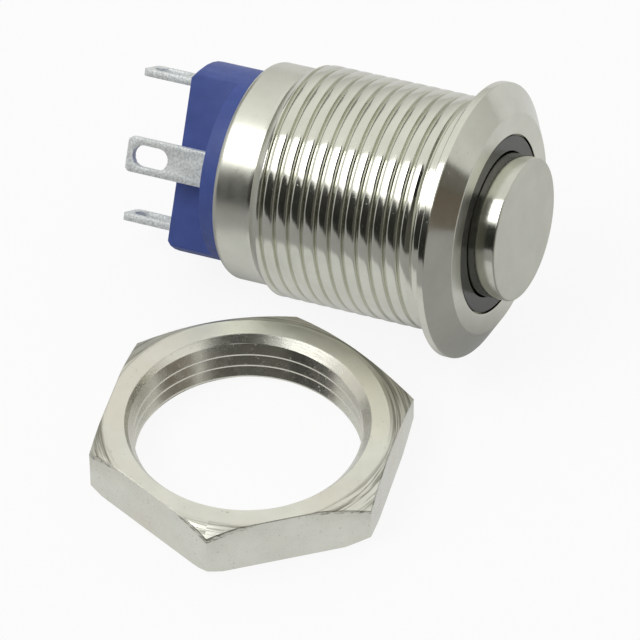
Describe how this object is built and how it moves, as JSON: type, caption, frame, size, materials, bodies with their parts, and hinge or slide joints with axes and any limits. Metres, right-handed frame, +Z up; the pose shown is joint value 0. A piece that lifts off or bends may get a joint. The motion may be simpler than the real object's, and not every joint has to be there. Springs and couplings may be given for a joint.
{
  "type": "pushbutton switch",
  "caption": "Momentary metal pushbutton switch: raised round button, threaded barrel, moulded base with solder lugs, and its hexagonal panel nut taken off",
  "frame": {"origin": "centre of the footprint on the table that the switch and its nut lie on", "axes": "+Z up from the table; the switch's push axis points towards -Y and 6.4 degrees upward, and the nut lies flat on the -X side of it"},
  "size_m": [0.0382, 0.0294, 0.0186],
  "materials": {
    "nickel_plate": "bright nickel plate on a turned brass body",
    "nut_nickel": "nickel plate, slightly pitted, with a machined face",
    "button_metal": "fine satin face, bright turned side",
    "ring_grey": "plain matt grey",
    "base_blue": "matt royal blue moulding",
    "tinned_lug": "tin plate, finely speckled",
    "black_plastic": "plain moulding",
    "seal_rubber": "plain",
    "spring_steel": "drawn wire and stamped strip",
    "blade_copper": "rolled copper alloy strip",
    "contact_silver": "silver rivet"
  },
  "bodies": {
    "housing": {"housing_barrel": "nickel_plate", "guide_ring": "ring_grey", "return_spring": "spring_steel", "spring_seat_washer": "spring_steel", "chamber_gasket": "seal_rubber", "chamber_cover": "black_plastic", "base_block": "base_blue", "terminal_common": "tinned_lug", "terminal_no": "tinned_lug", "terminal_nc": "tinned_lug", "blade_pin": "spring_steel", "nc_contact": "contact_silver", "no_contact": "contact_silver", "blade_spring": "spring_steel", "panel_nut": "nut_nickel"},
    "button": {"button_cap": "button_metal", "plunger": "black_plastic", "front_o_ring": "seal_rubber", "retaining_clip": "spring_steel"},
    "blade": {"contact_blade": "blade_copper", "moving_contact": "contact_silver"}
  },
  "joints": [
    {"name": "button_press", "type": "slide", "parent": "housing", "child": "button", "axis": [0, 0.9937, -0.1122], "range_m": [0, 0.0015], "stiffness_N_per_m": 1000, "springref_m": -0.0015, "deforming": ["return_spring"]},
    {"name": "contact_blade_swing", "type": "hinge", "parent": "housing", "child": "blade", "pos_m": [0.00663, 0.00308, 0.0098], "axis": [0.5563, 0.0932, 0.8257], "range_deg": [0, 14.62], "stiffness_Nm_per_rad": 0.0005, "springref_deg": -14.32, "deforming": ["blade_spring"]}
  ],
  "couplings": [
    {"joint": "contact_blade_swing", "follows": "button_press", "rad_per_m": 170}
  ]
}
